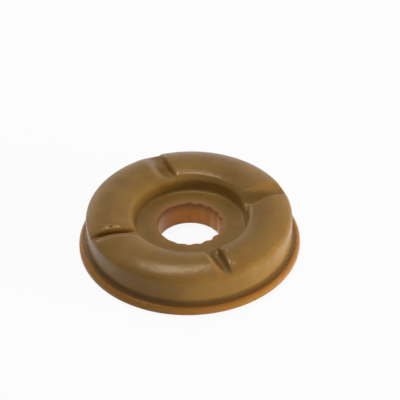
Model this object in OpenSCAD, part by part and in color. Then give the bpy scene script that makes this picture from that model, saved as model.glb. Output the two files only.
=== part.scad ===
// Flanged upper strut mount bush, moulded in one piece from amber polyurethane.
// All sizes are in millimetres and all angles in degrees.
// The axis is Z, and z = 0 is the flat base that rests on the strut's spring seat.

/* [Flange] */
// Reach of the flange beyond the side wall
flange_w = 3.5; // [3:0.1:8]
// Thickness of the flange
flange_t = 3.8; // [2.8:0.1:6]
// Rounding of the flange's upper rim
rim_top_r = 2; // [0.4:0.1:2.2]
// Rounding of the flange's lower rim
rim_foot_r = 0.9; // [0.2:0.1:1.2]

/* [Body] */
// Diameter of the side wall
body_d = 93; // [84:0.5:110]
// Height of the side wall's upper edge above the base
shoulder_h = 17.1; // [15:0.1:24]
// Rounding between the side wall and the crown
shoulder_r = 3; // [0.6:0.1:3.6]
// Fillet between the side wall and the flange
foot_r = 1.4; // [0.4:0.1:1.5]

/* [Crown] */
// Share of the domed ring's width that lies inside its crest
crest_share = 0.477; // [0.4:0.001:0.52]
// Rise of the crest above the side wall's upper edge
crown_rise = 3.6; // [2.4:0.1:5]

/* [Recess] */
// Diameter of the recess at its floor
recess_d = 49; // [42:0.5:56]
// Height of the recess floor above the base
floor_h = 11.8; // [7:0.1:12.5]
// Lean of the recess wall away from the axis
recess_draft = 14; // [4:1:20]
// Rounding of the recess mouth
lip_r = 3; // [0.6:0.1:3.4]
// Fillet between the recess wall and its floor
corner_r = 1.5; // [0.4:0.1:2]

/* [Bore] */
// Diameter of the bore for the centre sleeve
bore_d = 28.4; // [24:0.1:36]
// Chamfer at both ends of the bore
bore_edge = 0.5; // [0.2:0.1:1.2]

/* [Flutes] */
// Number of flutes cut into the bore wall
flute_n = 12; // [1:1:18]
// Angle from one flute to the next
flute_pitch = 20; // [12:1:24]
// Direction of the first flute
flute_start = -130.5; // [-180:0.5:180]
// Width of a flute where it opens into the bore
flute_w = 1.7; // [1:0.1:2.2]
// Depth of a flute behind the bore wall
flute_depth = 0.8; // [0.5:0.1:1.6]

/* [Grooves] */
// Number of radial grooves across the crown
groove_n = 4; // [2:1:6]
// Direction of the first groove
groove_turn = 20.4; // [0:0.1:90]
// Width of a groove at the crest of the crown
groove_w = 7.6; // [5.8:0.1:12]
// Width of a groove between the feet of its walls
groove_floor_w = 4.6; // [2:0.1:5.4]
// Depth of a groove below the crest
groove_depth = 4.9; // [3:0.1:5.6]
// Rise of a groove's floor towards the side wall
groove_tilt = 5.9; // [0:0.1:7]
// Fillet between a groove's walls and its floor
groove_corner_r = 0.8; // [0.2:0.1:0.9]

/* [Hidden] */

// Largest gap between an arc and the chords that draw it
arc_gap = 0.01;
// Length that a cutter runs past the faces it opens
cut = 1;
$fn = 96;

body_r = body_d / 2;
flange_r = body_r + flange_w;
recess_r = recess_d / 2;
bore_r = bore_d / 2;
crest_h = shoulder_h + crown_rise;

// The crown is one arc across the ring, from its crest down to the side wall at shoulder height
crest_r = recess_r + crest_share * (body_r - recess_r);
crown_gap = body_r - crest_r;
crown_r = (pow(crown_gap, 2) + pow(crown_rise, 2)) / (2 * crown_rise);
crown_mid = [crest_r, crest_h - crown_r];

// Points along an arc, from one direction to another about its centre
function arc(mid, r, from, to) =
    let (n = ceil(abs(to - from) / (2 * acos(1 - arc_gap / r))))
    [for (i = [0:n]) let (a = from + (to - from) * i / n) mid + r * [cos(a), sin(a)]];

// Direction from the crown's centre at which an edge rounding of radius r meets the arc, when the
// wall that it rounds faces the direction wall_dir and lies wall_gap away from that centre
function crown_meets(wall_dir, wall_gap, r) =
    let (turn = acos((wall_gap - r) / (crown_r - r)))
    wall_dir + (wall_dir > 90 ? -turn : turn);

// Centre of an edge rounding of radius r that meets the crown in the direction dir
function edge_mid(dir, r) = crown_mid + (crown_r - r) * [cos(dir), sin(dir)];

shoulder_dir = crown_meets(0, crown_gap, shoulder_r);
lip_wall_dir = 180 - recess_draft;
lip_wall_gap = (crest_r - recess_r) * cos(recess_draft) + (floor_h - crown_mid[1]) * sin(recess_draft);
lip_dir = crown_meets(lip_wall_dir, lip_wall_gap, lip_r);

// The fillet in the recess touches the leaning wall and the floor
corner_mid = [
    recess_r - corner_r * (1 - sin(recess_draft)) / cos(recess_draft),
    floor_h + corner_r
];

// Half section of the bush, from the base outwards, over the crown and back down the bore
section = concat(
    [[bore_r + bore_edge, 0]],
    arc([flange_r - rim_foot_r, rim_foot_r], rim_foot_r, -90, 0),
    arc([flange_r - rim_top_r, flange_t - rim_top_r], rim_top_r, 0, 90),
    arc([body_r + foot_r, flange_t + foot_r], foot_r, 270, 180),
    arc(edge_mid(shoulder_dir, shoulder_r), shoulder_r, 0, shoulder_dir),
    arc(crown_mid, crown_r, shoulder_dir, lip_dir),
    arc(edge_mid(lip_dir, lip_r), lip_r, lip_dir, lip_wall_dir),
    arc(corner_mid, corner_r, 360 - recess_draft, 270),
    [
        [bore_r + bore_edge, floor_h],
        [bore_r, floor_h - bore_edge],
        [bore_r, bore_edge]
    ]
);

// Flute cutter, a round channel along the bore wall
module flute() {
    translate([bore_r + flute_depth - flute_w / 2, 0, -cut])
        cylinder(d = flute_w, h = floor_h + 2 * cut);
}

// Groove cutter, a straight channel with leaning walls and filleted feet, open at its top.
// Its floor rises away from the axis, and its depth is measured at the crest.
module groove() {
    lean = atan((groove_w - groove_floor_w) / 2 / groove_depth);
    top = groove_depth + cut;
    top_x = groove_floor_w / 2 + top * tan(lean);
    fillet_x = groove_floor_w / 2 - groove_corner_r * tan((90 - lean) / 2);
    right = arc([fillet_x, groove_corner_r], groove_corner_r, 270, 360 - lean);
    left = [for (i = [len(right) - 1:-1:0]) [-right[i][0], right[i][1]]];
    start = (bore_r + recess_r) / 2;
    translate([crest_r, 0, crest_h - groove_depth])
        rotate([0, -groove_tilt, 0])
            translate([start - crest_r, 0, 0])
                rotate([90, 0, 90])
                    linear_extrude(flange_r + cut - start)
                        polygon(concat([[-top_x, top]], left, right, [[top_x, top]]));
}

module mount_bush() {
    color("#85683c")
        difference() {
            rotate_extrude() polygon(section);
            for (i = [0:flute_n - 1]) rotate(flute_start + i * flute_pitch) flute();
            for (i = [0:groove_n - 1]) rotate(groove_turn + i * 360 / groove_n) groove();
        }
}

mount_bush();
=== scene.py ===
"""Looks of a flanged strut mount bush, moulded in one piece from amber polyurethane.

The bush is drawn as a half section, spun about the axis of its bore and then shaped: the grooves
across the crown and the flutes in the bore are pressed into the spun mesh, and their edges are
worked soft as the real moulding's are. Sizes in the classes are in millimetres, meshes in metres.
"""

import logging
import math
from dataclasses import dataclass, field
from enum import Enum

import bpy
import numpy as np
from mathutils import Matrix, Vector


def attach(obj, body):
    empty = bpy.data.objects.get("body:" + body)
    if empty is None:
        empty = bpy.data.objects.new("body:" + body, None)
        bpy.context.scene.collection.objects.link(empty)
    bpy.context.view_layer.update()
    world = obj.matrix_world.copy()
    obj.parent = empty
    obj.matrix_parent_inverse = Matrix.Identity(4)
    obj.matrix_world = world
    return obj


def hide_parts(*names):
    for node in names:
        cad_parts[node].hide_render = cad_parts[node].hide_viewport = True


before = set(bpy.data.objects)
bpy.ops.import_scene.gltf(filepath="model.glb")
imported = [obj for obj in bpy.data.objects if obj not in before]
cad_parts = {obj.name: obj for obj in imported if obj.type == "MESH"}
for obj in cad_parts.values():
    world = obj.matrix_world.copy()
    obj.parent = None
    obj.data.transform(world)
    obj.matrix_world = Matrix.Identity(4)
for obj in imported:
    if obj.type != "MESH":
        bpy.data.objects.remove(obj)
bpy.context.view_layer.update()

log = logging.getLogger("bush")
MM = 0.001
WHITE = (1.0, 1.0, 1.0, 1.0)
# Distance in millimetres within which two points of the half section are one
SAME_PLACE = 1e-4
# Distance in metres within which two points of a mesh are merged
MERGE = 0.01 * MM


class Zone(Enum):
    """Stretch of the half section that a point lies on."""

    BASE = 0
    FLANGE = 1
    WALL = 2
    CROWN = 3
    RECESS = 4
    FLOOR = 5
    BORE = 6


def linear(hex_code: str) -> tuple[float, float, float, float]:
    """Turns an sRGB colour into the linear one that the shaders take.

    Args:
        hex_code: the colour as a hash sign and six hex digits.

    Returns:
        Linear red, green and blue, and an alpha of 1.
    """
    parts = [int(hex_code[i : i + 2], 16) / 255 for i in (1, 3, 5)]
    lin = [c / 12.92 if c <= 0.04045 else ((c + 0.055) / 1.055) ** 2.4 for c in parts]
    return (*lin, 1.0)


def add_node(
    tree: bpy.types.NodeTree,
    kind: str,
    settings: dict | None = None,
    values: dict | None = None,
    links: dict | None = None,
) -> bpy.types.Node:
    """Adds one node to a tree with its settings, socket values and incoming links.

    Args:
        tree: the node tree that the node joins.
        kind: the node's type name.
        settings: attributes set on the node itself.
        values: socket name or index to the value set on it.
        links: socket name or index to the output socket linked into it.

    Returns:
        The new node.
    """
    node = tree.nodes.new(kind)
    for name, value in (settings or {}).items():
        setattr(node, name, value)
    for socket, value in (values or {}).items():
        node.inputs[socket].default_value = value
    for socket, source in (links or {}).items():
        tree.links.new(source, node.inputs[socket])
    return node


def new_tree(owner: bpy.types.Material | bpy.types.World) -> bpy.types.NodeTree:
    """Switches a material or world to nodes and empties its tree.

    Args:
        owner: the material or world.

    Returns:
        Its empty node tree.
    """
    owner.use_nodes = True
    owner.node_tree.nodes.clear()
    return owner.node_tree


def looked_at(tree: bpy.types.NodeTree) -> bpy.types.NodeSocket:
    """Tells whether a ray looks at the background, straight or mirrored, instead of lighting.

    Args:
        tree: node tree of the floor's material or of the world.

    Returns:
        1 for such a ray, otherwise 0.
    """
    ray = add_node(tree, "ShaderNodeLightPath")
    seen = ray.outputs["Is Camera Ray"]
    for kind in ("Is Glossy Ray", "Is Transmission Ray"):
        seen = add_node(
            tree,
            "ShaderNodeMath",
            settings={"operation": "MAXIMUM"},
            links={0: seen, 1: ray.outputs[kind]},
        ).outputs[0]
    return seen


def arc(
    centre: tuple[float, float], radius: float, start: float, end: float, steps: int
) -> list[tuple[float, float]]:
    """Points along an arc of the half section.

    Args:
        centre: distance from the axis and height of the arc's centre.
        radius: the arc's radius.
        start: direction of the first point in degrees.
        end: direction of the last point in degrees.
        steps: number of chords.

    Returns:
        Distance and height of each point.
    """
    turns = np.radians(np.linspace(start, end, steps + 1))
    return [(centre[0] + radius * math.cos(t), centre[1] + radius * math.sin(t)) for t in turns]


def soft_min(a: np.ndarray, b: np.ndarray, blend: float) -> np.ndarray:
    """Lower of two heights, with the edge where they cross rounded over."""
    return np.minimum(a, b) - np.maximum(blend - np.abs(a - b), 0) ** 2 / (4 * blend)


def soft_step(x: np.ndarray, low: float, high: float) -> np.ndarray:
    """Rises smoothly from 0 at low to 1 at high."""
    t = np.clip((x - low) / (high - low), 0, 1)
    return t * t * (3 - 2 * t)


@dataclass(frozen=True)
class Tint:
    """A stretch of the bush where light or shade is painted into the resin's colour."""

    colour: str
    share: float
    # Distances from the axis at which the tint is absent and full, then the same for heights
    reach: tuple[float, float]
    rise: tuple[float, float] | None = None


@dataclass(frozen=True)
class CastPolyurethane:
    """Satin cast polyurethane elastomer, olive amber and slightly translucent.

    It is poured or moulded in a bead-blasted tool. To the eye it is a deep brown amber whose thin
    edges glow warmer, with soft broad highlights that a fine mould grain breaks into specks.
    """

    name: str = "satin_amber_cast_polyurethane"
    body: str = "#89662d"
    deep: str = "#7d5a25"
    pale: str = "#906f40"
    ior: float = 1.5
    specular: float = 0.25
    # A trace of amber release wax on the surface warms what it reflects
    film: str = "#ffe8c8"
    # Roughness of the glossiest and of the dullest specks
    roughness: tuple[float, float] = (0.1, 0.28)
    # Amber resin scatters red light furthest and blue light least
    glow: float = 0.6
    glow_depth: float = 4.0
    glow_spread: tuple[float, float, float] = (1.0, 0.45, 0.15)
    # The blasted tool's grain is about 0.2 mm, too fine for the render, so it is drawn at 0.9 mm
    grain: float = 0.9
    grain_depth: float = 0.2
    grain_strength: float = 0.5
    # Levels of the grain at which the surface is glossiest and dullest
    grain_levels: tuple[float, float] = (0.3, 0.7)
    # Levels of the grain at which the pale specks start and are full, and their share when full
    speck_levels: tuple[float, float] = (0.5, 0.8)
    speck_share: float = 0.12
    # Slow clouding of the resin, a few millimetres to two centimetres across
    clouding: float = 14.0
    # Levels of the clouding that show the deep colour and the body's own
    cloud_levels: tuple[float, float] = (0.32, 0.62)
    # Glow and shade painted into the resin's colour, stretch by stretch
    painted_light: tuple[Tint, ...] = (
        # Light that comes through the web under the recess warms the floor beside the bore
        Tint("#a8703a", 0.5, (18.5, 15.0)),
        # The same light makes the bore's wall look orange, most of all near its foot
        Tint("#d4903c", 0.9, (15.2, 14.8), (11.6, 7.0)),
        # The thin flange lets light through and looks golden
        Tint("#dc983c", 0.85, (47.0, 48.0)),
        # Painted shade darkens the corner at the side wall's foot
        Tint("#44270c", 0.6, (45.8, 46.3), (7.0, 4.6)),
    )

    def paint_light(
        self, tree: bpy.types.NodeTree, colour: bpy.types.NodeSocket, coord: bpy.types.NodeSocket
    ) -> bpy.types.NodeSocket:
        """Lays the painted light and shade over a colour.

        Args:
            tree: the material's node tree.
            colour: the colour underneath.
            coord: object coordinates.

        Returns:
            The colour with the light and shade painted in.
        """
        flat = add_node(
            tree,
            "ShaderNodeVectorMath",
            settings={"operation": "MULTIPLY"},
            values={1: (1, 1, 0)},
            links={0: coord},
        )
        reach = add_node(
            tree,
            "ShaderNodeVectorMath",
            settings={"operation": "LENGTH"},
            links={0: flat.outputs["Vector"]},
        ).outputs["Value"]
        rise = add_node(tree, "ShaderNodeSeparateXYZ", links={"Vector": coord}).outputs["Z"]
        for tint in self.painted_light:
            share = add_node(
                tree,
                "ShaderNodeMapRange",
                settings={"interpolation_type": "SMOOTHSTEP"},
                values={
                    "From Min": tint.reach[0] * MM,
                    "From Max": tint.reach[1] * MM,
                    "To Max": tint.share,
                },
                links={"Value": reach},
            ).outputs["Result"]
            if tint.rise:
                share = add_node(
                    tree,
                    "ShaderNodeMapRange",
                    settings={"interpolation_type": "SMOOTHSTEP"},
                    values={"From Min": tint.rise[0] * MM, "From Max": tint.rise[1] * MM},
                    links={"Value": rise, "To Max": share},
                ).outputs["Result"]
            colour = add_node(
                tree,
                "ShaderNodeMix",
                settings={"data_type": "RGBA"},
                values={7: linear(tint.colour)},
                links={0: share, 6: colour},
            ).outputs[2]
        return colour

    def resin(
        self, tree: bpy.types.NodeTree, coord: bpy.types.NodeSocket, speck: bpy.types.NodeSocket
    ) -> bpy.types.NodeSocket:
        """Colours the resin: its slow clouding, with pale specks where the grain stands up.

        Args:
            tree: the material's node tree.
            coord: object coordinates.
            speck: level of the mould grain.

        Returns:
            The resin's colour.
        """
        cloud = add_node(
            tree,
            "ShaderNodeTexNoise",
            values={"Scale": 1 / (self.clouding * MM), "Detail": 4.0, "Roughness": 0.6},
            links={"Vector": coord},
        )
        ramp = add_node(tree, "ShaderNodeValToRGB", links={"Fac": cloud.outputs["Fac"]})
        colours = (self.deep, self.body)
        for stop, level, colour in zip(ramp.color_ramp.elements, self.cloud_levels, colours):
            stop.position = level
            stop.color = linear(colour)
        share = add_node(
            tree,
            "ShaderNodeMapRange",
            values={
                "From Min": self.speck_levels[0],
                "From Max": self.speck_levels[1],
                "To Max": self.speck_share,
            },
            links={"Value": speck},
        )
        return add_node(
            tree,
            "ShaderNodeMix",
            settings={"data_type": "RGBA"},
            values={7: linear(self.pale)},
            links={0: share.outputs["Result"], 6: ramp.outputs["Color"]},
        ).outputs[2]

    def material(self) -> bpy.types.Material:
        """Builds the material, with its clouding, specks, painted light and shade, and grain.

        Returns:
            The new material.
        """
        mat = bpy.data.materials.new(self.name)
        tree = new_tree(mat)
        coord = add_node(tree, "ShaderNodeTexCoord").outputs["Object"]
        speck = add_node(
            tree,
            "ShaderNodeTexNoise",
            values={"Scale": 1 / (self.grain * MM), "Detail": 3.0, "Roughness": 0.7},
            links={"Vector": coord},
        ).outputs["Fac"]
        rough = add_node(
            tree,
            "ShaderNodeMapRange",
            values={
                "From Min": self.grain_levels[0],
                "From Max": self.grain_levels[1],
                "To Min": self.roughness[0],
                "To Max": self.roughness[1],
            },
            links={"Value": speck},
        )
        bump = add_node(
            tree,
            "ShaderNodeBump",
            values={"Strength": self.grain_strength, "Distance": self.grain_depth * MM},
            links={"Height": speck},
        )
        shader = add_node(
            tree,
            "ShaderNodeBsdfPrincipled",
            values={
                "IOR": self.ior,
                "Specular IOR Level": self.specular,
                "Specular Tint": linear(self.film),
                "Subsurface Weight": self.glow,
                "Subsurface Radius": self.glow_spread,
                "Subsurface Scale": self.glow_depth * MM,
            },
            links={
                "Base Color": self.paint_light(tree, self.resin(tree, coord, speck), coord),
                "Roughness": rough.outputs["Result"],
                "Normal": bump.outputs["Normal"],
            },
        )
        add_node(tree, "ShaderNodeOutputMaterial", links={"Surface": shader.outputs[0]})
        return mat


@dataclass(frozen=True)
class PaperSweep:
    """Matt white paper, as product photographs are taken on.

    It scatters light evenly and has no gloss. The camera sees it nearly white, and it still shows
    the bush's soft shadow.
    """

    name: str = "white_paper_sweep"
    colour: str = "#f4f4f4"
    # Share of plain white in what the camera sees, the rest being lit paper
    white: float = 0.9

    def material(self) -> bpy.types.Material:
        """Builds the material.

        Returns:
            The new material.
        """
        mat = bpy.data.materials.new(self.name)
        tree = new_tree(mat)
        paper = add_node(tree, "ShaderNodeBsdfDiffuse", values={"Color": linear(self.colour)})
        white = add_node(tree, "ShaderNodeEmission", values={"Color": WHITE, "Strength": 1.0})
        share = add_node(
            tree,
            "ShaderNodeMath",
            settings={"operation": "MULTIPLY"},
            values={1: self.white},
            links={0: looked_at(tree)},
        )
        mix = add_node(
            tree,
            "ShaderNodeMixShader",
            links={0: share.outputs[0], 1: paper.outputs[0], 2: white.outputs[0]},
        )
        add_node(tree, "ShaderNodeOutputMaterial", links={"Surface": mix.outputs[0]})
        return mat


@dataclass
class Section:
    """Half section of the bush: flange, side wall, domed crown, recess and bore."""

    flange_r: float = 50.0
    flange_t: float = 3.8
    # Roundings of the flange's upper and lower rim
    rim_top_r: float = 1.9
    rim_foot_r: float = 0.9
    # The side wall, its rounding into the crown and its fillet at the flange
    body_r: float = 46.5
    shoulder_r: float = 3.0
    foot_r: float = 1.3
    # Place of the crown's highest ring, and radius of the one arc across it
    crest_r: float = 35.0
    crest_h: float = 20.4
    crown_r: float = 22.0
    # The recess at its floor, the lean of its wall in degrees, its soft mouth and its fillet
    recess_r: float = 24.5
    floor_h: float = 11.8
    recess_draft: float = 14.0
    lip_r: float = 4.0
    corner_r: float = 1.5
    # The bore, its chamfer at the foot and its rounding at the top
    bore_r: float = 14.2
    bore_edge: float = 0.5
    bore_round: float = 0.7
    # Height on the side wall above which the rings stand close, because the grooves reach there
    close_h: float = 11.0
    # Distances behind the bore's wall of the rings on the floor beside it, the first one just
    # clear of the flutes
    mouth_rings: tuple[float, ...] = (2.2, 1.8, 1.4, 1.0)
    # Heights of the rings down the bore's wall, closer together where the flutes open
    bore_rings: tuple[float, ...] = (10.4, 9.4, 8.0, 6.0, 4.0, 2.0)

    @property
    def crown_mid(self) -> tuple[float, float]:
        """Centre of the arc across the crown."""
        return self.crest_r, self.crest_h - self.crown_r

    def meets(self, wall_dir: float, wall_gap: float, radius: float) -> float:
        """Direction from the crown's centre at which an edge rounding meets the crown's arc.

        Args:
            wall_dir: direction that the rounded wall faces, in degrees.
            wall_gap: distance of that wall from the crown's centre.
            radius: radius of the rounding.

        Returns:
            The direction in degrees.
        """
        turn = math.degrees(math.acos((wall_gap - radius) / (self.crown_r - radius)))
        return wall_dir + (-turn if wall_dir > 90 else turn)

    def edge_mid(self, direction: float, radius: float) -> tuple[float, float]:
        """Centre of an edge rounding that meets the crown's arc.

        Args:
            direction: direction from the crown's centre at which they meet, in degrees.
            radius: radius of the rounding.

        Returns:
            Distance from the axis and height of the centre.
        """
        turn = math.radians(direction)
        reach = self.crown_r - radius
        return self.crown_mid[0] + reach * math.cos(turn), self.crown_mid[1] + reach * math.sin(turn)

    def stretches(self) -> list[tuple[Zone, list[tuple[float, float]]]]:
        """Stretches of the closed half section, from the bore's foot outwards and back over the top.

        Returns:
            Zone of each stretch, with the distance from the axis and the height of its points.
        """
        mid_x, mid_z = self.crown_mid
        draft = math.radians(self.recess_draft)
        out_dir = self.meets(0, self.body_r - mid_x, self.shoulder_r)
        out_mid = self.edge_mid(out_dir, self.shoulder_r)
        lip_wall = 180 - self.recess_draft
        lip_gap = (mid_x - self.recess_r) * math.cos(draft) + (self.floor_h - mid_z) * math.sin(draft)
        lip_dir = self.meets(lip_wall, lip_gap, self.lip_r)
        lip = arc(self.edge_mid(lip_dir, self.lip_r), self.lip_r, lip_dir, lip_wall, steps=10)
        corner_mid = (
            self.recess_r - self.corner_r * (1 - math.sin(draft)) / math.cos(draft),
            self.floor_h + self.corner_r,
        )
        corner = arc(corner_mid, self.corner_r, 360 - self.recess_draft, 270, steps=6)
        (top_x, top_z), (low_x, low_z) = lip[-1], corner[0]
        wall = [(top_x + (low_x - top_x) * t, top_z + (low_z - top_z) * t) for t in np.linspace(0, 1, 10)]
        rim_foot = (self.flange_r - self.rim_foot_r, self.rim_foot_r)
        rim_top = (self.flange_r - self.rim_top_r, self.flange_t - self.rim_top_r)
        foot = (self.body_r + self.foot_r, self.flange_t + self.foot_r)
        mouth = (self.bore_r + self.bore_round, self.floor_h - self.bore_round)
        floor_end = self.bore_r + self.mouth_rings[0]
        return [
            (Zone.BASE, [(x, 0.0) for x in np.linspace(self.bore_r + self.bore_edge, rim_foot[0], 7)]),
            (Zone.FLANGE, arc(rim_foot, self.rim_foot_r, -90, 0, steps=5)),
            (Zone.FLANGE, arc(rim_top, self.rim_top_r, 0, 90, steps=7)),
            (Zone.FLANGE, arc(foot, self.foot_r, 270, 180, steps=6)),
            (Zone.WALL, [(self.body_r, z) for z in np.linspace(foot[1], self.close_h, 6)]),
            (Zone.WALL, [(self.body_r, z) for z in np.linspace(self.close_h, out_mid[1], 14)]),
            (Zone.CROWN, arc(out_mid, self.shoulder_r, 0, out_dir, steps=7)),
            (Zone.CROWN, arc((mid_x, mid_z), self.crown_r, out_dir, lip_dir, steps=44)),
            (Zone.CROWN, lip),
            (Zone.RECESS, wall),
            (Zone.RECESS, corner),
            (Zone.FLOOR, [(x, self.floor_h) for x in np.linspace(corner_mid[0], floor_end, 6)]),
            (Zone.BORE, [(self.bore_r + x, self.floor_h) for x in self.mouth_rings[1:]]),
            (Zone.BORE, arc(mouth, self.bore_round, 90, 180, steps=5)),
            (Zone.BORE, [(self.bore_r, z) for z in (*self.bore_rings, self.bore_edge)]),
        ]

    def points(self) -> list[tuple[float, float, Zone]]:
        """Points of the half section, each place once.

        Returns:
            Distance from the axis, height and zone of each point.
        """
        points: list[tuple[float, float, Zone]] = []
        for zone, stretch in self.stretches():
            for x, z in stretch:
                if not points or math.dist(points[-1][:2], (x, z)) > SAME_PLACE:
                    points.append((float(x), float(z), zone))
        return points


@dataclass
class Wall:
    """One wall of a groove: where its foot and its upper edge lie, and how it climbs between them.

    Both distances are from the groove's middle line. A wall with a steep part climbs it right at
    its foot and then rounds over slowly towards the crown.
    """

    foot: float
    edge: float
    # Share of the wall's height that its steep part takes, 0 for one even slope
    steep: float = 0.0
    # Height of the flash that stands along the steep part's upper edge
    flash: float = 0.0
    # Distance across which the steep part climbs, and half width of the flash
    steep_run: float = 1.1
    flash_w: float = 0.7

    def climb(self, across: np.ndarray) -> np.ndarray:
        """Share of the way from the floor up to the crown.

        Args:
            across: distances from the groove's middle line, positive on the wall's side.

        Returns:
            0 on the floor, 1 at the crown.
        """
        if not self.steep:
            return soft_step(across, self.foot, self.edge)
        steep = soft_step(across, self.foot, self.foot + self.steep_run)
        slow = 1 - (1 - np.clip((across - self.foot) / (self.edge - self.foot), 0, 1)) ** 2
        return self.steep * steep + (1 - self.steep) * slow

    def ridge(self, across: np.ndarray) -> np.ndarray:
        """Height of the flash at a distance from the middle line."""
        off = np.abs(across - self.foot - self.steep_run)
        return self.flash * (1 - soft_step(off, 0.0, self.flash_w))


@dataclass
class Groove:
    """Shape of one groove, whose walls are named as seen from the axis outwards."""

    right: Wall
    left: Wall
    # Heights of the floor at its inner end and at the side wall
    floor_in: float
    floor_out: float
    # Height by which the floor climbs towards its inner end, and the distance that it takes
    close: float = 0.0
    close_run: float = 4.0
    # Distance by which the outer end lies to the left of the radial middle line
    bend: float = 0.0


@dataclass
class Grooves:
    """Radial grooves across the crown, worn soft and each a little different."""

    number: int = 4
    # Direction of the first groove in degrees
    turn: float = 20.4
    # Distance from the axis at which the floor's slope starts
    inner_r: float = 27.0
    # Distance inside it at which a closed end is at its highest
    close_lead: float = 1.0
    # Height over which a floor's edge is rounded where it runs out
    floor_blend: float = 0.8
    # Depths of a groove at which the flash on its walls starts and is full
    flash_depths: tuple[float, float] = (0.3, 1.5)
    # The right, back, left and front groove, in this order
    shapes: list[Groove] = field(
        default_factory=lambda: [
            Groove(Wall(4.2, 5.7), Wall(-2.5, 5.4), 15.6, 17.0, bend=1.6),
            Groove(Wall(2.9, 5.2, 0.66), Wall(-2.0, 6.5), 16.8, 17.0, 1.6, 6.0),
            Groove(Wall(-0.5, 4.4, 0.8), Wall(1.8, 7.2, 0.42, 0.4), 15.8, 16.2, 1.2, bend=-2.0),
            Groove(Wall(-0.6, 5.0), Wall(1.8, 5.0, 0.85), 15.9, 17.4, 2.2, 3.0),
        ]
    )

    def nearest(self, azimuth: np.ndarray) -> tuple[np.ndarray, np.ndarray]:
        """Finds the groove nearest to each azimuth.

        Args:
            azimuth: directions about the axis, in radians.

        Returns:
            Azimuth of that groove's middle line and the angle from it, in radians.
        """
        pitch = math.tau / self.number
        start = math.radians(self.turn)
        middle = start + np.round((azimuth - start) / pitch) * pitch
        return middle, azimuth - middle

    def press(
        self, high: np.ndarray, across: np.ndarray, reach: np.ndarray, middle: np.ndarray, body_r: float
    ) -> np.ndarray:
        """Height of the bush's surface once the grooves are pressed into it.

        Args:
            high: height of each point as drawn.
            across: distance from the middle line of the groove beside the point, positive to its left.
            reach: distance from the bush's axis.
            middle: azimuth of that groove's middle line, in radians.
            body_r: radius of the side wall, where the grooves end.

        Returns:
            The new heights.
        """
        pitch = math.tau / self.number
        which = np.round((middle - math.radians(self.turn)) / pitch).astype(int) % self.number
        along = np.clip((reach - self.inner_r) / (body_r - self.inner_r), 0, 1)
        for i, shape in enumerate(self.shapes):
            floor = shape.floor_in + (shape.floor_out - shape.floor_in) * along
            opening = soft_step(reach, self.inner_r - self.close_lead, self.inner_r + shape.close_run)
            floor += shape.close * (1 - opening)
            side = across - shape.bend * along**2
            climb = np.maximum(shape.left.climb(side), shape.right.climb(-side))
            deep = high - soft_min(high, floor, self.floor_blend)
            flash = shape.left.ridge(side) + shape.right.ridge(-side)
            flash *= soft_step(deep, *self.flash_depths)
            high = np.where(which == i, high - deep * (1 - climb) + flash, high)
        return high


@dataclass(frozen=True)
class Mark:
    """A small burr or pit of the moulding, a rounded ridge or hollow seen from above."""

    x: float
    y: float
    # Direction of its length, in degrees
    turn: float
    half_length: float
    half_width: float
    rise: float
    # Share of its size within which it is level
    level: float = 0.2

    def lift(self, x: np.ndarray, y: np.ndarray) -> np.ndarray:
        """Height that the mark adds at each place.

        Args:
            x: places along the X axis.
            y: places along the Y axis.

        Returns:
            The added heights, negative in a pit.
        """
        c, s = math.cos(math.radians(self.turn)), math.sin(math.radians(self.turn))
        along = ((x - self.x) * c + (y - self.y) * s) / self.half_length
        side = ((y - self.y) * c - (x - self.x) * s) / self.half_width
        return self.rise * (1 - soft_step(np.hypot(along, side), self.level, 1.0))


@dataclass
class Flutes:
    """Round channels along part of the bore's wall."""

    number: int = 12
    # Angle from one flute to the next and direction of the first one, in degrees
    pitch: float = 20.0
    start: float = -130.5
    # Distance along the wall from a flute's middle to where it has run out, and its full depth
    half_width: float = 2.3
    depth: float = 0.85
    # Share of the depth that is left at the bore's foot
    foot_share: float = 0.3
    # Number of flutes, from the first one on, over which the depth grows to its full value
    growing: int = 5
    # Distances behind the bore's wall between which a flute dies away on the floor
    fade: tuple[float, float] = (0.3, 2.2)

    def cut(
        self, azimuth: np.ndarray, reach: np.ndarray, high: np.ndarray, section: Section
    ) -> np.ndarray:
        """Depth behind the bore's wall at each place.

        Args:
            azimuth: directions about the axis, in radians.
            reach: distances from the axis.
            high: heights above the base.
            section: the half section that holds the bore.

        Returns:
            Depth of the channel there, or 0 between the channels.
        """
        deep = np.zeros_like(azimuth)
        for i in range(self.number):
            middle = math.radians(self.start + i * self.pitch)
            off = np.abs((azimuth - middle + math.pi) % math.tau - math.pi) * section.bore_r
            share = np.clip(off / self.half_width, 0, 1)
            depth = self.depth * min(1.0, (i + 1) / self.growing)
            deep = np.maximum(deep, depth * np.cos(share * math.pi / 2) ** 2)
        left = self.foot_share + (1 - self.foot_share) * high / section.floor_h
        return deep * left * (1 - soft_step(reach - section.bore_r, *self.fade))


@dataclass(frozen=True)
class CoreShift:
    """The mould's core that formed the recess stood a little off the axis."""

    right: float = 0.7
    front: float = 1.2
    # Distances from the axis between which the shift grows to its full value
    grow: tuple[float, float] = (16.0, 21.0)
    # Distances from the axis between which it dies away again across the crown
    fade: tuple[float, float] = (28.0, 40.0)

    def share(self, reach: np.ndarray) -> np.ndarray:
        """Share of the shift at each distance from the axis."""
        return soft_step(reach, *self.grow) * (1 - soft_step(reach, *self.fade))


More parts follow.
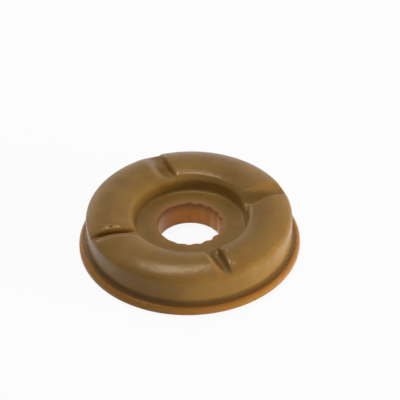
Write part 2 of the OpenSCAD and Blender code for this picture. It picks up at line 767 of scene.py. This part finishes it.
@dataclass(frozen=True)
class Wear:
    """Rounding of the grooves' ends, where they open in the side wall and in the recess."""

    # Depth of a groove from which its surface is worked in full
    depth: float = 0.6
    # Number of rings by which the work spreads beyond a groove, and what each keeps of the last one's
    spread: int = 6
    keep: float = 0.85
    # Number of rounds, and how far each one pulls a point to the middle of its neighbours
    rounds: int = 10
    pull: float = 0.5

    def soften(
        self, rad: np.ndarray, high: np.ndarray, drawn: np.ndarray, worked: np.ndarray
    ) -> tuple[np.ndarray, np.ndarray]:
        """Evens out the rings that a groove has lowered.

        Args:
            rad: distance from the axis of each point, by ring and column.
            high: height of each point, by ring and column.
            drawn: height of each ring as drawn.
            worked: the rings that the grooves may reach.

        Returns:
            The new distances and heights.
        """
        touch = np.clip((drawn[:, None] - high) / self.depth, 0, 1)
        for _ in range(self.spread):
            beside = np.maximum(np.roll(touch, 1, 0), np.roll(touch, -1, 0))
            touch = np.maximum(touch, beside * self.keep)
        touch *= worked[:, None]
        for _ in range(self.rounds):
            rad = rad + self.pull * touch * ((np.roll(rad, 1, 0) + np.roll(rad, -1, 0)) / 2 - rad)
            high = high + self.pull * touch * ((np.roll(high, 1, 0) + np.roll(high, -1, 0)) / 2 - high)
        return rad, high


@dataclass
class MountBush:
    """The moulded bush: its half section, grooves and flutes, and the finish that it wears."""

    section: Section = field(default_factory=Section)
    grooves: Grooves = field(default_factory=Grooves)
    flutes: Flutes = field(default_factory=Flutes)
    core: CoreShift = CoreShift()
    wear: Wear = Wear()
    # The comments name a groove's walls as seen from the axis outwards, as its class does
    marks: list[Mark] = field(
        default_factory=lambda: [
            # Burrs on the front groove's left wall and at its closed inner end
            Mark(15.2, -29.4, -60.0, 3.0, 1.3, 0.55),
            Mark(12.5, -27.9, 53.0, 2.0, 1.4, 0.6),
            Mark(19.9, -38.4, -78.0, 2.8, 0.7, 0.16),
            # Burr on the back groove's right wall, near its outer end
            Mark(-10.4, 38.8, 110.0, 2.6, 1.3, 0.5),
            # Pit and burr on the left groove's right wall
            Mark(-35.0, -10.8, 200.0, 0.9, 0.8, -0.6),
            Mark(-38.1, -10.5, 190.0, 2.0, 1.1, 0.25),
            # Nub on the shoulder, to the right of the front groove's outer end
            Mark(13.6, -45.0, 20.0, 0.8, 0.8, 0.35),
            # Low streak on the right groove's left wall
            Mark(27.8, 13.5, 22.0, 3.6, 1.2, 0.25),
            # Flash left standing along the foot of the back groove's right wall
            Mark(-10.1, 34.6, 110.4, 8.5, 0.6, 0.9),
        ]
    )
    finish: CastPolyurethane = CastPolyurethane()
    # Angle in degrees above which an edge is shown sharp
    sharp_angle: float = 40.0
    # Number of columns in the spun mesh
    columns: int = 704
    # Half width of the strip at each groove in which the columns run parallel to it
    strip: float = 8.0
    # Share of the columns that the strips get
    strip_share: float = 0.36
    # Distance from the axis at which the columns turn radial again
    inner: float = 24.0
    # Height above the recess floor from which the grooves may change a ring
    floor_gap: float = 0.1

    def draw(self) -> bpy.types.Object:
        """Draws the half section point by point and spins it about the axis.

        Returns:
            The spun bush, its object at the origin.
        """
        outline = self.section.points()
        bpy.ops.object.select_all(action="DESELECT")
        x0, z0, _ = outline[0]
        bpy.ops.mesh.primitive_plane_add(size=MM, location=(x0 * MM, 0, z0 * MM))
        bush = bpy.context.object
        bush.name = bush.data.name = "bush_body"
        bpy.ops.object.transform_apply(location=True, rotation=True, scale=True)
        bpy.ops.object.mode_set(mode="EDIT")
        bpy.ops.mesh.select_all(action="SELECT")
        bpy.ops.mesh.merge(type="CENTER")
        for (x, z, _), (nx, nz, _) in zip(outline, outline[1:] + outline[:1]):
            bpy.ops.mesh.extrude_region_move(
                TRANSFORM_OT_translate={"value": ((nx - x) * MM, 0, (nz - z) * MM)}
            )
        bpy.ops.mesh.select_all(action="SELECT")
        bpy.ops.mesh.remove_doubles(threshold=MERGE)
        bpy.ops.object.mode_set(mode="OBJECT")
        bpy.ops.object.modifier_add(type="SCREW")
        turn = bush.modifiers[-1]
        turn.steps = turn.render_steps = self.columns
        turn.use_merge_vertices = True
        turn.merge_threshold = MERGE
        bpy.ops.object.modifier_apply(modifier=turn.name)
        bpy.ops.object.mode_set(mode="EDIT")
        bpy.ops.mesh.select_all(action="SELECT")
        bpy.ops.mesh.remove_doubles(threshold=MERGE)
        bpy.ops.mesh.normals_make_consistent(inside=False)
        bpy.ops.object.mode_set(mode="OBJECT")
        return bush

    def columns_at(self, column: np.ndarray, reach: np.ndarray) -> np.ndarray:
        """Azimuth of each point once its column runs along the groove beside it.

        Args:
            column: azimuth of the point's column as spun, in radians.
            reach: distance of the point from the axis.

        Returns:
            The new azimuth in radians.
        """
        middle, off = self.grooves.nearest(column)
        half = math.pi / self.grooves.number
        share = np.abs(off) / half
        across = self.strip * share / self.strip_share
        level = np.clip(reach, self.inner, self.section.body_r)
        edge = np.arcsin(self.strip / level)
        beyond = (share - self.strip_share) / (1 - self.strip_share)
        inside = np.arcsin(np.minimum(across, self.strip) / level)
        turned = np.where(share < self.strip_share, inside, edge + (half - edge) * beyond)
        return middle + np.sign(off) * turned

    def grid(self, co: np.ndarray, flat: np.ndarray) -> np.ndarray:
        """Finds the ring and the column that each point of the spun mesh lies on.

        Args:
            co: places of the points.
            flat: distance from the axis and height of each ring.

        Returns:
            Number of the point at each ring and column.
        """
        reach = np.hypot(co[:, 0], co[:, 1])
        step = math.tau / self.columns
        column = np.round(np.arctan2(co[:, 1], co[:, 0]) / step).astype(int) % self.columns
        gap = np.full(len(co), np.inf)
        ring = np.zeros(len(co), int)
        for i, (x, z) in enumerate(flat):
            here = (reach - x) ** 2 + (co[:, 2] - z) ** 2
            ring = np.where(here < gap, i, ring)
            gap = np.minimum(gap, here)
        place = np.full((len(flat), self.columns), -1)
        place[ring, column] = np.arange(len(co))
        if (place < 0).any():
            raise ValueError("the spun mesh has a gap")
        return place

    def shape(self, bush: bpy.types.Object) -> None:
        """Presses the grooves, flutes and marks into the spun mesh and softens the grooves' ends.

        Args:
            bush: the spun bush.
        """
        outline = self.section.points()
        flat = np.array([(x, z) for x, z, _ in outline])
        zones = np.array([zone.value for _, _, zone in outline])
        co = np.empty(len(bush.data.vertices) * 3)
        bush.data.vertices.foreach_get("co", co)
        co = co.reshape(-1, 3) / MM
        place = self.grid(co, flat)
        rad = np.repeat(flat[:, :1], self.columns, 1)
        high = np.repeat(flat[:, 1:], self.columns, 1)
        spun = np.arange(self.columns)[None] * (math.tau / self.columns)
        azimuth = self.columns_at(np.repeat(spun, len(outline), 0), rad)
        middle, off = self.grooves.nearest(azimuth)
        upper = flat[:, 1] > self.section.floor_h + self.floor_gap
        worked = (zones >= Zone.WALL.value) & (zones <= Zone.RECESS.value) & upper
        pressed = self.grooves.press(high, rad * np.sin(off), rad, middle, self.section.body_r)
        high[worked] = pressed[worked]
        rad, high = self.wear.soften(rad, high, flat[:, 1], worked)
        bore = zones == Zone.BORE.value
        rad[bore] += self.flutes.cut(azimuth, rad, high, self.section)[bore]
        x, y = rad * np.cos(azimuth), rad * np.sin(azimuth)
        shift = self.core.share(rad) * (zones >= Zone.CROWN.value)[:, None]
        x, y = x + shift * self.core.right, y - shift * self.core.front
        on_crown = (zones == Zone.CROWN.value)[:, None]
        for mark in self.marks:
            high += np.where(on_crown, mark.lift(x, y), 0)
        co[place.ravel()] = np.stack((x.ravel(), y.ravel(), high.ravel()), 1)
        bush.data.vertices.foreach_set("co", (co * MM).ravel())
        bush.data.update()

    def build(self) -> bpy.types.Object:
        """Makes the bush, dresses it and lets it ride on the part's body.

        Returns:
            The finished piece.
        """
        bush = self.draw()
        self.shape(bush)
        bpy.ops.object.select_all(action="DESELECT")
        bush.select_set(True)
        bpy.context.view_layer.objects.active = bush
        bpy.ops.object.shade_smooth_by_angle(angle=math.radians(self.sharp_angle))
        bush.data.materials.clear()
        bush.data.materials.append(self.finish.material())
        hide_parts("mount_bush")
        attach(bush, "root")
        return bush


@dataclass
class Lamp:
    """A soft area lamp that points at the bush. Its places and sizes are in metres."""

    name: str
    place: tuple[float, float, float]
    size: float
    power: float
    colour: str = "#ffffff"
    # Length of its other side, 0 for a square lamp
    length: float = 0.0
    # A diffused lamp, whose own shape isn't seen mirrored in the surface
    diffused: bool = False
    # Height on the bush's axis that it points at
    aim: float = 0.01

    def build(self) -> bpy.types.Object:
        """Adds the lamp to the scene.

        Returns:
            The lamp.
        """
        data = bpy.data.lights.new(self.name, "AREA")
        data.energy = self.power
        data.color = linear(self.colour)[:3]
        data.size = self.size
        if self.length:
            data.shape = "RECTANGLE"
            data.size_y = self.length
        lamp = bpy.data.objects.new(self.name, data)
        bpy.context.scene.collection.objects.link(lamp)
        lamp.location = self.place
        lamp.visible_glossy = not self.diffused
        look = Vector((0, 0, self.aim)) - lamp.location
        lamp.rotation_euler = look.to_track_quat("-Z", "Y").to_euler()
        return lamp


@dataclass
class Studio:
    """Plain pale floor, soft light and the camera at the photograph's angle."""

    # Strength of the room's own light, where 1 is white
    world_level: float = 0.34
    # Side of the floor in metres
    floor_size: float = 3.0
    # Depth in millimetres of the floor below the base, which keeps the two faces apart
    floor_gap: float = 0.02
    paper: PaperSweep = PaperSweep()
    lamps: list[Lamp] = field(
        default_factory=lambda: [
            Lamp("overhead", (-0.13, 0.26, 1.09), 0.42, 5.0, length=0.1),
            Lamp("right_side", (0.9, -0.36, 0.08), 0.5, 13.4, length=0.2, diffused=True),
            Lamp("back_left", (-0.62, 0.8, 0.26), 0.5, 1.0, "#fff0dc"),
        ]
    )
    # Distance in metres, elevation and roll in degrees, lens and sensor in millimetres
    distance: float = 1.2
    elevation: float = 39.67
    roll: float = 1.375
    lens: float = 238.0
    sensor: float = 36.0
    # The camera aims this many millimetres right of and above the middle of the base, as measured
    # across its picture, because the photograph frames the bush so
    aim: tuple[float, float] = (5.16, 19.58)

    def floor(self) -> bpy.types.Object:
        """Lays the floor, white to the camera but still holding the bush's shadow.

        Returns:
            The floor.
        """
        bpy.ops.object.select_all(action="DESELECT")
        bpy.ops.mesh.primitive_plane_add(size=self.floor_size, location=(0, 0, -self.floor_gap * MM))
        floor = bpy.context.object
        floor.name = "floor"
        bpy.ops.object.transform_apply(location=True, rotation=True, scale=True)
        floor.data.materials.append(self.paper.material())
        return floor

    def world(self) -> None:
        """Fills the room with plain white light and shows it white to the camera."""
        world = bpy.data.worlds.new("white_room")
        bpy.context.scene.world = world
        tree = new_tree(world)
        level = add_node(
            tree,
            "ShaderNodeMapRange",
            values={"To Min": self.world_level, "To Max": 1.0},
            links={"Value": looked_at(tree)},
        )
        light = add_node(
            tree,
            "ShaderNodeBackground",
            values={"Color": WHITE},
            links={"Strength": level.outputs["Result"]},
        )
        add_node(tree, "ShaderNodeOutputWorld", links={"Surface": light.outputs[0]})

    def camera(self) -> bpy.types.Object:
        """Sets the camera up at the photograph's angle and frame.

        Returns:
            The camera.
        """
        tilt = math.radians(self.elevation)
        right = Vector((1, 0, 0))
        ahead = Vector((0, math.cos(tilt), -math.sin(tilt)))
        up = Vector((0, math.sin(tilt), math.cos(tilt)))
        place = -ahead * self.distance
        target = right * self.aim[0] * MM + up * self.aim[1] * MM
        look = (target - place).normalized()
        turn = math.radians(self.roll)
        top = up * math.cos(turn) + right * math.sin(turn)
        side = look.cross(top).normalized()
        top = side.cross(look).normalized()
        data = bpy.data.cameras.new("photo_camera")
        data.lens = self.lens
        data.sensor_width = self.sensor
        camera = bpy.data.objects.new("photo_camera", data)
        bpy.context.scene.collection.objects.link(camera)
        camera.matrix_world = Matrix(
            (
                (side.x, top.x, -look.x, place.x),
                (side.y, top.y, -look.y, place.y),
                (side.z, top.z, -look.z, place.z),
                (0, 0, 0, 1),
            )
        )
        bpy.context.scene.camera = camera
        return camera

    def build(self) -> None:
        """Sets up the whole studio."""
        self.floor()
        self.world()
        for lamp in self.lamps:
            lamp.build()
        self.camera()
        bpy.context.scene.view_settings.view_transform = "Standard"


def main() -> None:
    """Builds the studio and the bush, and reports each piece."""
    logging.basicConfig(level=logging.INFO, format="%(message)s")
    Studio().build()
    log.info("studio: floor, room light, lamps and camera")
    bush = MountBush().build()
    log.info("%s: %d faces", bush.name, len(bush.data.polygons))


if __name__ == "__main__":
    main()
